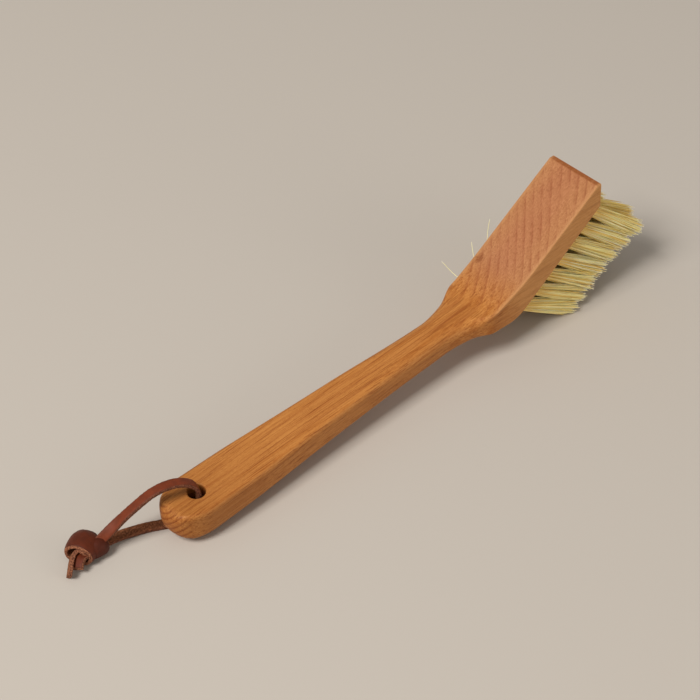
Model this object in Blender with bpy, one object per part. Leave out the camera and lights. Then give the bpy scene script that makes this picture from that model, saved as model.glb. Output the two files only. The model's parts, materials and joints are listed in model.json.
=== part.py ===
"""Wooden dish brush lying at rest: carved body, bristle tufts on wire staples, leather hanging strap.

The body is laid out in its own handle frame: X runs from the hanging hole towards the head, Y to the
left, Z up, with zero on the handle's flat top above the hole. The brush is then tilted so that it
rests on the strap under its butt and on the tips of the tufts nearest the neck. World zero is the
middle of the body and bristles, on the table.
"""
import math
import random

import bmesh
import bpy
from mathutils import Matrix, Vector

MM = 0.001

# Wooden body, side view
BUTT_OVERHANG = 16.8 * MM         # hole centre to the butt's end
NECK_RUN = 134.5 * MM             # hole centre to the slimmest part of the neck
FLARE_RUN = 24.0 * MM             # neck to the shoulders
RAMP_RUN = 17.9 * MM              # shoulders to the bend of the back
RAMP_PITCH = math.radians(23.8)
HEAD_RUN = 46.6 * MM              # bend of the back to the ridge at its far end, along the handle
HEAD_PITCH = math.radians(31.2)
UNDERSIDE_PITCH = math.radians(32.8)
BUTT_THICKNESS = 15.0 * MM
NECK_THICKNESS = 12.8 * MM
SHOULDER_THICKNESS = 10.0 * MM
HEEL_THICKNESS = 10.7 * MM        # top plane to the lowest line of the underside, where it bends up
HEAD_END_THICKNESS = 12.8 * MM    # measured square to the handle
BEND_BLEND = 5.0 * MM             # half the length over which a bend is rounded

# Wooden body, plan view and edges
BUTT_WIDTH = 24.4 * MM
NECK_WIDTH = 16.0 * MM
HEAD_WIDTH = 29.6 * MM            # at the shoulders
HEAD_END_WIDTH = 29.0 * MM
HANDLE_UPPER_EDGE = 2.4 * MM      # radius along the handle, turning oval towards the neck
HANDLE_LOWER_EDGE = 4.2 * MM
NECK_EDGE_REACH = 6.4 * MM        # the neck's oval upper edge, inwards from the side
NECK_EDGE_FALL = 4.8 * MM         # and down from the top
NECK_ROUNDING = 55.0 * MM         # run over which the edge turns oval, up to the neck
EDGE_TURN = 14.0 * MM             # run over which the edges turn crisp at the shoulders
EDGE_LEAD_share = 0.67            # of that run, before the shoulders
HEAD_EDGE_RADIUS = 0.9 * MM
CORNER_LIMIT_share = 0.94         # most of a section's half width or half height that a corner takes
BUTT_EDGE_ROLL = 5.6 * MM         # how far the butt's end is rolled over above
BUTT_FOOT_ROLL = 8.0 * MM         # and below
END_CHAMFER = 0.5 * MM
END_BEVEL = 2.5 * MM              # near-level bevel from the back's ridge to the end, along the handle
END_BEVEL_FALL = 0.1 * MM
FLARE_POWER = 1.6                 # how late the neck's hollow sweeps out to the shoulder
BUTT_POWER = 2.15                 # roundness of the butt in plan, 2 being an ellipse
WIDTH_shares = (
    (0.0, 1.0), (0.17, 0.9), (0.3, 0.7), (0.42, 0.5), (0.55, 0.32), (0.68, 0.17), (0.82, 0.06), (1.0, 0.0),
)
BUTT_STEPS = 9
HANDLE_STEPS = 12
FLARE_STEPS = 8
RAMP_STEPS = 8
HEAD_STEPS = 5
CORNER_STEPS = 3

# Hanging hole
HANGING_BORE = 7.7 * MM
RIM_CHAMFER = 0.7 * MM
BORE_SIDES = 24

# Tufts
COLUMNS = 7
ROWS = 3
COLUMN_PITCH = 8.9 * MM
ROW_PITCH = 8.9 * MM
FIRST_COLUMN_INSET = 4.1 * MM     # head's end to the first column's holes, along the underside
TUFT_BORE = 5.0 * MM
TUFT_BORE_DEPTH = 8.0 * MM
BRISTLE_LENGTH = 39.6 * MM        # mouth of the hole to the tips
LEAN_FAR_END = math.radians(15.2)   # outer rows, forward of the underside's normal
LEAN_NECK_END = math.radians(25.4)  # neck end, and all of the middle row
SPLAY = math.radians(10.0)        # outer rows, away from the middle
ROOT_INSET = 1.3 * MM             # bound root to the mouth of the hole
STRAND_GAP = 0.14 * MM            # half the space between two strands at the root
TIP_RAGGEDNESS = 1.5 * MM
TIP_CUT = 0.5 * MM                # pressed flat where the brush rests on it
SPREAD_ALONG = 1.62               # tip spacing over root spacing, along the head
SPREAD_ACROSS = 1.85
STRAND_TAPER = 0.62
STRANDS_LEFT_OUT = 1              # of the 24 cells of a root
BORE_FACETS = 16

# Wire staples
WIRE = 0.5 * MM
STAPLE_HEIGHT = 2.0 * MM
STAPLE_DEPTH = 1.6 * MM

# Leather strap
LACE_WIDTH = 4.5 * MM
LACE_THICKNESS = 1.8 * MM
LACE_EDGE = 0.45 * MM
LACE_STEPS = 56
KNOT_DIAMETER = 12.6 * MM
KNOT_LENGTH = 13.6 * MM
KNOT_NEAR_share = 0.86            # first wrap, beside the loop, over the second
KNOT_GROOVE = 1.3 * MM            # how deep the line between the two wraps lies
KNOT_OFFSET = 3.0 * MM            # the loop's ends lie this far to one side of the knot's axis
WRAP_POWER = 0.6                  # below 1 makes the wraps squarer
KNOT_STEPS = 14
KNOT_SIDES = 24
TAIL_STEPS = 8
CURVE_STEPS = 16                  # between two points of a route
KNOT_HEADING = math.radians(195)  # plan direction in which the knot's axis points, away from the hole

GAP = 0.3 * MM                    # between pieces that touch
OVERRUN = 2.0 * MM                # by which a cutter passes the surface

# Routes in millimetres from the hole's place on the table, chosen by eye. The loop's middle line runs
# from the knot over the handle, down the hole and back under the butt
LACE_ROUTE = (
    (-38.7, 12.4, 9.2), (-37.2, 12.1, 10.2), (-34.9, 11.5, 12.0), (-32.3, 10.7, 14.2), (-29.1, 9.6, 16.9),
    (-25.8, 8.5, 19.4), (-22.6, 7.4, 21.7), (-19.4, 6.4, 23.7), (-16.3, 5.3, 25.1), (-13.2, 4.3, 25.8),
    (-9.6, 3.2, 25.8), (-6.4, 2.1, 25.2), (-3.6, 1.1, 23.8), (-1.4, 0.4, 21.9), (0.0, -0.1, 19.5),
    (0.6, -0.3, 16.6), (0.8, -0.4, 12.5), (0.9, -0.4, 8.0), (0.8, -0.3, 5.0), (0.2, 0.1, 2.9),
    (-1.2, 1.0, 1.5), (-3.4, 2.3, 1.05), (-8.0, 5.1, 1.0), (-13.2, 8.0, 1.0), (-17.2, 10.1, 1.08),
    (-21.4, 11.7, 1.35), (-25.0, 12.6, 1.8), (-28.6, 13.3, 2.4), (-32.3, 13.7, 3.1), (-35.6, 13.8, 3.7),
    (-38.95, 13.4, 4.0),
)
LONG_TAIL_ROUTE = (
    (-49.6, 15.4, 6.4), (-52.6, 15.3, 6.2), (-55.4, 14.0, 5.2), (-57.6, 11.9, 3.9), (-59.1, 9.9, 2.8),
)
SHORT_TAIL_ROUTE = ((-48.8, 12.6, 6.2), (-51.4, 11.7, 5.9), (-53.2, 10.5, 4.8), (-54.1, 9.4, 3.3))
LONG_TAIL_STANDS = (0.1, 0.3, 1.0)      # way its broad side runs
SHORT_TAIL_STANDS = (0.7, -0.65, 0.1)

SHOULDER_X = NECK_RUN + FLARE_RUN
BEND_X = SHOULDER_X + RAMP_RUN
RIDGE_X = BEND_X + HEAD_RUN
END_X = RIDGE_X + END_BEVEL
RAMP_RISE = RAMP_RUN * math.tan(RAMP_PITCH)
RIDGE_Z = RAMP_RISE + HEAD_RUN * math.tan(HEAD_PITCH)
END_TOP_Z = RIDGE_Z - END_BEVEL_FALL
END_BOTTOM_Z = END_TOP_Z - HEAD_END_THICKNESS
HEEL_X = END_X - (END_BOTTOM_Z + HEEL_THICKNESS) / math.tan(UNDERSIDE_PITCH)


def clear_scene():
    for thing in list(bpy.data.objects):
        bpy.data.objects.remove(thing, do_unlink=True)


def material(name, colour, roughness, metallic=0.0):
    made = bpy.data.materials.new(name)
    made.use_nodes = True
    shader = made.node_tree.nodes["Principled BSDF"]
    shader.inputs["Base Color"].default_value = (*colour, 1.0)
    shader.inputs["Roughness"].default_value = roughness
    shader.inputs["Metallic"].default_value = metallic
    made.diffuse_color = (*colour, 1.0)
    return made


def empty(name, parent=None):
    made = bpy.data.objects.new(name, None)
    bpy.context.collection.objects.link(made)
    made.parent = parent
    return made


def object_from(name, bm, surface, parent, smooth_angle=None):
    bmesh.ops.recalc_face_normals(bm, faces=bm.faces)
    mesh = bpy.data.meshes.new(name)
    bm.to_mesh(mesh)
    bm.free()
    mesh.materials.append(surface)
    if smooth_angle is not None:
        mesh.shade_smooth()
        mesh.set_sharp_from_angle(angle=smooth_angle)
    made = bpy.data.objects.new(name, mesh)
    bpy.context.collection.objects.link(made)
    made.parent = parent
    return made


def cutter_from(name, bm, parent):
    made = object_from(name, bm, material(name, (1, 0, 0), 1), parent)
    made.hide_render = True
    made.display_type = "WIRE"
    return made


def boolean(target, tool, operation="DIFFERENCE"):
    cut = target.modifiers.new(tool.name, "BOOLEAN")
    cut.object = tool
    cut.operation = operation
    cut.solver = "EXACT"


def loft(bm, rings):
    """Skin closed rings of equally many points and cap both ends."""
    skins = [[bm.verts.new(point) for point in ring] for ring in rings]
    for near, far in zip(skins, skins[1:]):
        count = len(near)
        for i in range(count):
            bm.faces.new((near[i], near[(i + 1) % count], far[(i + 1) % count], far[i]))
    bm.faces.new(reversed(skins[0]))
    bm.faces.new(skins[-1])


def read_shares(table, t):
    """Smooth value of a table of (place, share) pairs at t."""
    t = min(max(t, table[0][0]), table[-1][0])
    last = len(table) - 2
    i = min(sum(1 for place, _ in table[1:-1] if t > place), last)

    def slope(k):
        low = max(k - 1, 0)
        high = min(k + 1, len(table) - 1)
        return (table[high][1] - table[low][1]) / (table[high][0] - table[low][0])

    span = table[i + 1][0] - table[i][0]
    u = (t - table[i][0]) / span
    ease = u * u * (3 - 2 * u)
    start = table[i][1] * (1 - ease) + table[i + 1][1] * ease
    return start + span * (slope(i) * u * (1 - u) ** 2 - slope(i + 1) * u * u * (1 - u))


def rounded_line(corners, blend, x):
    """Height at x of a line through corners, its inner corners eased over blend to either side."""
    slopes = [(b[1] - a[1]) / (b[0] - a[0]) for a, b in zip(corners, corners[1:])]
    for k in range(1, len(corners) - 1):
        run = x - corners[k][0] + blend
        if 0 < run < 2 * blend:
            ease = (slopes[k] - slopes[k - 1]) * run * run / (4 * blend)
            return corners[k][1] + slopes[k - 1] * (run - blend) + ease
    k = sum(1 for place, _ in corners[1:-1] if x > place)
    return corners[k][1] + slopes[k] * (x - corners[k][0])


def top_z(x):
    if x > RIDGE_X:
        return RIDGE_Z - END_BEVEL_FALL * (x - RIDGE_X) / END_BEVEL
    corners = ((-BUTT_OVERHANG, 0), (SHOULDER_X, 0), (BEND_X, RAMP_RISE), (RIDGE_X, RIDGE_Z))
    return rounded_line(corners, BEND_BLEND, x)


def bottom_z(x):
    corners = (
        (-BUTT_OVERHANG, -BUTT_THICKNESS), (0, -BUTT_THICKNESS), (NECK_RUN, -NECK_THICKNESS),
        (SHOULDER_X, -SHOULDER_THICKNESS), (HEEL_X, -HEEL_THICKNESS), (END_X, END_BOTTOM_Z),
    )
    return rounded_line(corners, BEND_BLEND, x)


def half_width(x):
    if x <= 0:
        return BUTT_WIDTH / 2 * (1 - min(-x / BUTT_OVERHANG, 1) ** BUTT_POWER) ** (1 / BUTT_POWER)
    if x <= NECK_RUN:
        return (NECK_WIDTH + (BUTT_WIDTH - NECK_WIDTH) * read_shares(WIDTH_shares, x / NECK_RUN)) / 2
    if x <= SHOULDER_X:
        return (NECK_WIDTH + (HEAD_WIDTH - NECK_WIDTH) * ((x - NECK_RUN) / FLARE_RUN) ** FLARE_POWER) / 2
    return (HEAD_WIDTH + (HEAD_END_WIDTH - HEAD_WIDTH) * (x - SHOULDER_X) / (END_X - SHOULDER_X)) / 2


def eased(t):
    t = min(max(t, 0), 1)
    return t * t * (3 - 2 * t)


def edge_rounding(x, upper):
    """Reach inwards and fall of an edge's rounding, which turns crisp at the shoulders."""
    crisp = eased((x - SHOULDER_X + EDGE_TURN * EDGE_LEAD_share) / EDGE_TURN)
    if not upper:
        radius = HANDLE_LOWER_EDGE + (HEAD_EDGE_RADIUS - HANDLE_LOWER_EDGE) * crisp
        return radius, radius
    oval = eased((x - NECK_RUN + NECK_ROUNDING) / NECK_ROUNDING)
    sizes = []
    for neck_edge in (NECK_EDGE_REACH, NECK_EDGE_FALL):
        size = HANDLE_UPPER_EDGE + (neck_edge - HANDLE_UPPER_EDGE) * oval
        sizes.append(size + (HEAD_EDGE_RADIUS - size) * crisp)
    return sizes


def section(x, half, low, high):
    """Rounded rectangle across the body at x, four corners of CORNER_STEPS steps."""
    points = []
    for quarter, (sy, sz) in enumerate(((1, 1), (-1, 1), (-1, -1), (1, -1))):
        reach, fall = edge_rounding(x, sz > 0)
        reach = min(reach, half * CORNER_LIMIT_share)
        fall = min(fall, (high - low) / 2 * CORNER_LIMIT_share)
        cy = sy * (half - reach)
        cz = (high - fall) if sz > 0 else (low + fall)
        for step in range(CORNER_STEPS + 1):
            angle = math.radians(90) * (quarter + step / CORNER_STEPS)
            points.append(Vector((x, cy + reach * math.cos(angle), cz + fall * math.sin(angle))))
    return points


def rolled(x, radius):
    """How far an edge of that radius around the butt's end draws the surface in at x."""
    inward = min(x + BUTT_OVERHANG, radius)
    return radius - math.sqrt(max(radius ** 2 - (radius - inward) ** 2, 0))


def butt_rings():
    """Sections from the butt's end to the hole: round in plan, with its edges rolled over."""
    rings = []
    for step in range(1, BUTT_STEPS + 1):
        x = -BUTT_OVERHANG * math.cos(math.radians(90) * step / BUTT_STEPS)
        half = max(half_width(x), HEAD_EDGE_RADIUS)
        low = bottom_z(x) + rolled(x, BUTT_FOOT_ROLL)
        rings.append(section(x, half, low, top_z(x) - rolled(x, BUTT_EDGE_ROLL)))
    return rings


def build_body(surface, parent):
    bm = bmesh.new()
    rings = butt_rings()
    stops = [NECK_RUN * k / HANDLE_STEPS for k in range(1, HANDLE_STEPS + 1)]
    stops += [NECK_RUN + FLARE_RUN * k / FLARE_STEPS for k in range(1, FLARE_STEPS + 1)]
    stops += [SHOULDER_X + (RAMP_RUN + BEND_BLEND) * k / RAMP_STEPS for k in range(1, RAMP_STEPS + 1)]
    flat = BEND_X + BEND_BLEND
    stops += [flat + (RIDGE_X - flat) * k / HEAD_STEPS for k in range(1, HEAD_STEPS + 1)]
    stops.append(END_X - END_CHAMFER)
    rings += [section(x, half_width(x), bottom_z(x), top_z(x)) for x in stops]
    rings.append(section(
        END_X, half_width(END_X) - END_CHAMFER, END_BOTTOM_Z + END_CHAMFER, END_TOP_Z - END_CHAMFER))
    loft(bm, rings)
    body = object_from("wooden_body", bm, surface, parent, math.radians(40))
    boolean(body, hanging_hole_cutter(parent))
    boolean(body, tuft_hole_cutter(parent))
    return body


def turned_ring(radius, z, sides, turn=0.0):
    angles = [2 * math.pi * (k + turn) / sides for k in range(sides)]
    return [Vector((radius * math.cos(a), radius * math.sin(a), z)) for a in angles]


def hanging_hole_cutter(parent):
    """A bore with both rims chamfered, a little past either surface."""
    bore = HANGING_BORE / 2
    wide = bore + RIM_CHAMFER + OVERRUN
    steps = (
        (wide, OVERRUN), (bore, -RIM_CHAMFER),
        (bore, -BUTT_THICKNESS + RIM_CHAMFER), (wide, -BUTT_THICKNESS - OVERRUN),
    )
    bm = bmesh.new()
    loft(bm, [turned_ring(radius, z, BORE_SIDES) for radius, z in steps])
    return cutter_from("hanging_hole_cutter", bm, parent)


def tuft_frame(row, column):
    """Place of a tuft's hole mouth: local Z points out along the bristles, local X along the head."""
    along = Vector((-math.cos(UNDERSIDE_PITCH), 0, -math.sin(UNDERSIDE_PITCH)))
    corner = Vector((END_X, 0, END_BOTTOM_Z))
    mouth = corner + along * (FIRST_COLUMN_INSET + COLUMN_PITCH * column)
    side = row - (ROWS - 1) / 2
    mouth.y = side * ROW_PITCH
    mouth.z = bottom_z(mouth.x)
    spread = abs(side) * (1 - column / (COLUMNS - 1))
    lean = LEAN_NECK_END + (LEAN_FAR_END - LEAN_NECK_END) * spread
    from_down = UNDERSIDE_PITCH + lean
    turn = Matrix.Rotation(math.pi - from_down, 4, "Y")
    splay = Matrix.Rotation(-SPLAY * side, 4, "X")
    return Matrix.Translation(mouth) @ turn @ splay


def tuft_hole_cutter(parent):
    bm = bmesh.new()
    for row in range(ROWS):
        for column in range(COLUMNS):
            place = tuft_frame(row, column)
            depths = (-TUFT_BORE_DEPTH, OVERRUN + ROOT_INSET)
            loft(bm, [[place @ p for p in turned_ring(TUFT_BORE / 2, z, BORE_FACETS)] for z in depths])
    return cutter_from("tuft_hole_cutter", bm, parent)


def rest_pose():
    """Tilt and height that set the strap's lower leg and the neck end's tips on the table."""
    tip = tuft_frame((ROWS - 1) // 2, COLUMNS - 1) @ Vector((0, 0, BRISTLE_LENGTH - TIP_CUT))
    butt_x = -BUTT_OVERHANG + BUTT_FOOT_ROLL
    butt = Vector((butt_x, 0, bottom_z(butt_x) - LACE_THICKNESS - GAP))
    tilt = math.atan2(butt.z - tip.z, tip.x - butt.x)
    height = -(tip.x * math.sin(tilt) + tip.z * math.cos(tilt))
    return tilt, height


def root_cells(radius, z):
    """A hexagon of 24 cells, two rings deep, its rim pushed out to a circle."""
    spots = {}
    for q in range(-2, 3):
        for r in range(-2, 3):
            if abs(q + r) <= 2:
                spot = Vector((q + r / 2, r * math.sqrt(3) / 2, 0)) / 2
                ring = max(abs(q), abs(r), abs(q + r))
                if ring == 2:
                    spot.normalize()
                spots[q, r] = Vector((spot.x * radius, spot.y * radius, z))
    cells = []
    for q, r in spots:
        for others in (((q + 1, r), (q, r + 1)), ((q + 1, r), (q + 1, r - 1))):
            if all(other in spots for other in others):
                cells.append(((q, r), *others))
    return spots, cells


def build_tuft(row, column, surface, parent, tilt, height):
    """A bundle of strands fused to its bound root, which fills the hole above the staple."""
    seed = random.Random(row * COLUMNS + column + 1)
    place = tuft_frame(row, column)
    radius = TUFT_BORE / 2 - GAP
    top = -ROOT_INSET
    bottom = -TUFT_BORE_DEPTH + GAP + STAPLE_HEIGHT + GAP
    spots, cells = root_cells(radius, top)
    bm = bmesh.new()
    corners = {key: bm.verts.new(spot) for key, spot in spots.items()}
    left_out = set(seed.sample(range(len(cells)), STRANDS_LEFT_OUT))
    for number, cell in enumerate(cells):
        outer = [corners[key] for key in cell]
        if number in left_out:
            bm.faces.new(outer)
            continue
        middle = sum((v.co for v in outer), Vector()) / 3
        reach = (outer[0].co - middle).length
        shrink = max(1 - 2 * STRAND_GAP / reach, STRAND_TAPER / 2)
        base = [bm.verts.new(middle + (v.co - middle) * shrink) for v in outer]
        for i in range(3):
            bm.faces.new((outer[i], outer[(i + 1) % 3], base[(i + 1) % 3], base[i]))
        length = BRISTLE_LENGTH - TIP_RAGGEDNESS * seed.random() ** 2 * (column < COLUMNS - 1)
        axis_tip = Vector((middle.x * SPREAD_ALONG, middle.y * SPREAD_ACROSS, length))
        tips = []
        for v in base:
            tip = axis_tip + Vector(((v.co.x - middle.x), (v.co.y - middle.y), 0)) * STRAND_TAPER
            start = place @ v.co
            end = place @ tip
            over = height + end.x * math.sin(tilt) + end.z * math.cos(tilt)
            if over < 0:
                from_table = height + start.x * math.sin(tilt) + start.z * math.cos(tilt)
                tip = v.co.lerp(tip, from_table / (from_table - over))
            tips.append(bm.verts.new(tip))
        for i in range(3):
            bm.faces.new((base[i], base[(i + 1) % 3], tips[(i + 1) % 3], tips[i]))
        bm.faces.new(tips)
    rim = sorted((v for key, v in corners.items() if max(abs(key[0]), abs(key[1]), abs(sum(key))) == 2),
                 key=lambda v: math.atan2(v.co.y, v.co.x))
    foot = [bm.verts.new((v.co.x, v.co.y, bottom)) for v in rim]
    count = len(rim)
    for i in range(count):
        bm.faces.new((rim[i], foot[i], foot[(i + 1) % count], rim[(i + 1) % count]))
    bm.faces.new(foot)
    tuft = object_from(f"tuft_r{row + 1}_c{column + 1}", bm, surface, parent)
    tuft.matrix_local = place
    return tuft


def build_staple(row, column, surface, parent):
    """A flat wire bent to a U, its crown across the hole and its legs on the hole's floor."""
    place = tuft_frame(row, column)
    half = (TUFT_BORE / 2 - GAP) * math.cos(math.atan2(STAPLE_DEPTH, TUFT_BORE))
    floor = -TUFT_BORE_DEPTH + GAP
    crown = floor + STAPLE_HEIGHT
    outline = (
        (-half, floor), (-half + WIRE, floor), (-half + WIRE, crown - WIRE), (half - WIRE, crown - WIRE),
        (half - WIRE, floor), (half, floor), (half, crown), (-half, crown),
    )
    bm = bmesh.new()
    loft(bm, [[Vector((x, y, z)) for y, z in outline] for x in (-STAPLE_DEPTH / 2, STAPLE_DEPTH / 2)])
    staple = object_from(f"staple_r{row + 1}_c{column + 1}", bm, surface, parent)
    staple.matrix_local = place
    return staple


def smooth_route(points, steps):
    """Points along a smooth curve through the route, evenly spaced, in metres."""
    points = [Vector(p) * MM for p in points]
    dense = []
    for k in range(len(points) - 1):
        before = points[k - 1] if k else 2 * points[0] - points[1]
        after = points[k + 2] if k + 2 < len(points) else 2 * points[-1] - points[-2]
        for j in range(CURVE_STEPS):
            u = j / CURVE_STEPS
            dense.append(0.5 * (
                2 * points[k] + (points[k + 1] - before) * u
                + (2 * before - 5 * points[k] + 4 * points[k + 1] - after) * u ** 2
                + (3 * points[k] - before - 3 * points[k + 1] + after) * u ** 3))
    dense.append(points[-1])
    travelled = [0.0]
    for a, b in zip(dense, dense[1:]):
        travelled.append(travelled[-1] + (b - a).length)
    even = []
    k = 0
    for step in range(steps + 1):
        goal = travelled[-1] * step / steps
        while k < len(dense) - 2 and travelled[k + 1] < goal:
            k += 1
        part = (goal - travelled[k]) / (travelled[k + 1] - travelled[k])
        even.append(dense[k].lerp(dense[k + 1], min(part, 1)))
    return even


def lace_rings(line, first_way, last_way, stands=None):
    """Flat leather sections along a line, the broad side turning as little as it can."""
    edge = LACE_EDGE
    w = LACE_WIDTH / 2
    t = LACE_THICKNESS / 2
    outline = ((w, -t + edge), (w, t - edge), (w - edge, t), (-w + edge, t),
               (-w, t - edge), (-w, -t + edge), (-w + edge, -t), (w - edge, -t))
    rings = []
    across = None
    for k, point in enumerate(line):
        way = (line[min(k + 1, len(line) - 1)] - line[max(k - 1, 0)]).normalized()
        if k == 0:
            way = first_way
        if k == len(line) - 1:
            way = last_way
        if across is None:
            across = Vector(stands) if stands else way.cross(Vector((0, 0, 1)))
        across = (across - way * across.dot(way)).normalized()
        up = across.cross(way)
        rings.append([point + across * a + up * b for a, b in outline])
    return rings


def build_strap(surface, parent):
    heading = Vector((math.cos(KNOT_HEADING), math.sin(KNOT_HEADING), 0))
    bm = bmesh.new()
    loft(bm, lace_rings(smooth_route(LACE_ROUTE, LACE_STEPS), -heading, heading))
    return object_from("strap_loop", bm, surface, parent, math.radians(35))


def build_knot(surface, parent):
    """Two wraps of lace side by side, drawn tight, with both ends of the lace coming out."""
    heading = Vector((math.cos(KNOT_HEADING), math.sin(KNOT_HEADING), 0))
    near = max((Vector(LACE_ROUTE[0]), Vector(LACE_ROUTE[-1])), key=heading.dot) * MM
    start = heading * (near.dot(heading) + GAP)
    side = Vector((-heading.y, heading.x, 0))
    radius = KNOT_DIAMETER / 2
    middle = side * (near.dot(side) - KNOT_OFFSET) + Vector((0, 0, radius))
    rings = []
    for k in range(KNOT_STEPS + 1):
        share = k / KNOT_STEPS
        wrap = abs(math.sin(2 * math.pi * share)) ** WRAP_POWER
        ends = KNOT_GROOVE if k in (0, KNOT_STEPS) else 0
        size = KNOT_NEAR_share + (1 - KNOT_NEAR_share) * min(2 * share, 1)
        bulge = radius * size - KNOT_GROOVE * (1 - wrap) - ends
        centre = start + middle + heading * KNOT_LENGTH * share
        ring = []
        for p in turned_ring(bulge, 0, KNOT_SIDES, 0.5):
            ring.append(centre + side * p.x + Vector((0, 0, p.y)))
        rings.append(ring)
    bm = bmesh.new()
    loft(bm, rings)
    knot = object_from("strap_knot", bm, surface, parent, math.radians(35))
    tails = (
        ("long_tail", LONG_TAIL_ROUTE, LONG_TAIL_STANDS),
        ("short_tail", SHORT_TAIL_ROUTE, SHORT_TAIL_STANDS),
    )
    for name, route, stands in tails:
        line = smooth_route(route, TAIL_STEPS)
        first = (line[1] - line[0]).normalized()
        last = (line[-1] - line[-2]).normalized()
        bm = bmesh.new()
        loft(bm, lace_rings(line, first, last, stands))
        boolean(knot, cutter_from(f"{name}_form", bm, parent), "UNION")
    return knot


def world_bounds(objects):
    bpy.context.view_layer.update()
    graph = bpy.context.evaluated_depsgraph_get()
    points = []
    for thing in objects:
        shape = thing.evaluated_get(graph)
        points += [shape.matrix_world @ Vector(v.co) for v in shape.data.vertices]
    low = Vector([min(p[i] for p in points) for i in range(3)])
    high = Vector([max(p[i] for p in points) for i in range(3)])
    return low, high


def main():
    clear_scene()
    wood = material("oiled_wood", (0.50, 0.235, 0.085), 0.48)
    bristle = material("plant_fibre", (0.72, 0.61, 0.34), 0.75)
    steel = material("staple_wire", (0.55, 0.55, 0.56), 0.35, 1.0)
    leather = material("brown_leather", (0.17, 0.05, 0.025), 0.55)

    tilt, height = rest_pose()
    base = empty("table_frame")
    rest = empty("handle_frame", base)
    rest.location = (0, 0, height)
    rest.rotation_euler = (0, -tilt, 0)

    held = [build_body(wood, rest)]
    for row in range(ROWS):
        for column in range(COLUMNS):
            held.append(build_staple(row, column, steel, rest))
            held.append(build_tuft(row, column, bristle, rest, tilt, height))

    pivot = empty("strap_pivot", base)
    build_strap(leather, pivot)
    build_knot(leather, pivot)

    low, high = world_bounds(held)
    base.location = (-(low.x + high.x) / 2, -(low.y + high.y) / 2, 0)
    bpy.context.view_layer.update()
    print("hole centre", tuple(round(v, 5) for v in rest.matrix_world.translation))
    print("tilt degrees", round(math.degrees(tilt), 3))


main()
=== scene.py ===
"""Wooden dish brush, dressed: oiled wood, plant-fibre bristles and a knotted leather strap."""
import json
import math
import random

import bmesh
import bpy
from bpy.props import FloatProperty, FloatVectorProperty, IntProperty, PointerProperty
from mathutils import Matrix, Vector, noise


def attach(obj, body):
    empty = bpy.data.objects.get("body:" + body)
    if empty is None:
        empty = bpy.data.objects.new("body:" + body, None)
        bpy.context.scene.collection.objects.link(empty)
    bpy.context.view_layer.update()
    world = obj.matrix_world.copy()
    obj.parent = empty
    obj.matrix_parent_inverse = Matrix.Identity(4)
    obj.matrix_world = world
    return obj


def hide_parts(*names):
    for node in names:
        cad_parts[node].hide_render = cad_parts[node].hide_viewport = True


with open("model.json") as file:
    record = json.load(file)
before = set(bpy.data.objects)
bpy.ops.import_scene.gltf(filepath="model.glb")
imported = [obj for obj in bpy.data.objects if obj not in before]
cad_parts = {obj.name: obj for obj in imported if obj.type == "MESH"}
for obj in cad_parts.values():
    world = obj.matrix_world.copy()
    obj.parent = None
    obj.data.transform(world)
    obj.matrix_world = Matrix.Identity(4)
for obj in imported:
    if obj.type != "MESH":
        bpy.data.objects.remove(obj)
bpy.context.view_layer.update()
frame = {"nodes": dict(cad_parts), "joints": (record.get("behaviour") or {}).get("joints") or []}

bl_info = {
    "name": "Dish brush",
    "version": (1, 0, 0),
    "blender": (4, 5, 0),
    "location": "3D View > Sidebar > Brush",
    "description": "Wooden dish brush with plant-fibre tufts and a leather hanging strap",
    "category": "Add Mesh",
}

MM = 0.001

# Wooden body, side view
BUTT_OVERHANG = 16.8 * MM
NECK_RUN = 134.5 * MM
FLARE_RUN = 24.0 * MM
RAMP_RUN = 17.9 * MM
RAMP_PITCH = math.radians(23.8)
HEAD_RUN = 46.6 * MM
HEAD_PITCH = math.radians(31.2)
UNDERSIDE_PITCH = math.radians(32.8)
BUTT_THICKNESS = 15.0 * MM
NECK_THICKNESS = 12.8 * MM
SHOULDER_THICKNESS = 10.0 * MM
HEEL_THICKNESS = 10.7 * MM
HEAD_END_THICKNESS = 12.8 * MM
BEND_BLEND = 5.0 * MM

# Wooden body, plan view and edges
BUTT_WIDTH = 24.4 * MM
NECK_WIDTH = 16.0 * MM
SHOULDER_WIDTH = 28.1 * MM
WAIST_RUN = 24.0 * MM
CORNER_EASE = 2.2 * MM
HEAD_WIDTH = 29.6 * MM
HEAD_END_WIDTH = 29.0 * MM
HANDLE_UPPER_EDGE = 2.4 * MM
HANDLE_LOWER_EDGE = 4.2 * MM
NECK_EDGE_REACH = 6.4 * MM
NECK_EDGE_FALL = 4.8 * MM
HEAD_EDGE_RADIUS = 0.6 * MM
NECK_ROUNDING = 55.0 * MM
EDGE_TURN = 10.0 * MM
EDGE_LEAD_share = 0.95
BUTT_EDGE_ROLL = 5.6 * MM
BUTT_FOOT_ROLL = 8.0 * MM
END_CHAMFER = 0.25 * MM
END_BEVEL = 2.5 * MM
END_BEVEL_FALL = 0.1 * MM
BUTT_TIP = 0.5 * MM
FLARE_POWER = 1.6
BUTT_POWER = 2.15
WIDTH_shares = (
    (0.0, 1.0), (0.17, 0.9), (0.3, 0.7), (0.42, 0.5), (0.55, 0.32), (0.68, 0.17), (0.82, 0.06), (1.0, 0.0),
)
BUTT_STEPS = 26
HANDLE_STEPS = 42
FLARE_STEPS = 20
RAMP_STEPS = 22
HEAD_STEPS = 16
CORNER_STEPS = 8
CORNER_LIMIT_share = 0.94
BROAD_shares = (0.05, 0.2, 0.4, 0.6, 0.8, 0.95)
NARROW_shares = (0.12, 0.5, 0.88)
BODY_SMOOTH = math.radians(32)

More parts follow.
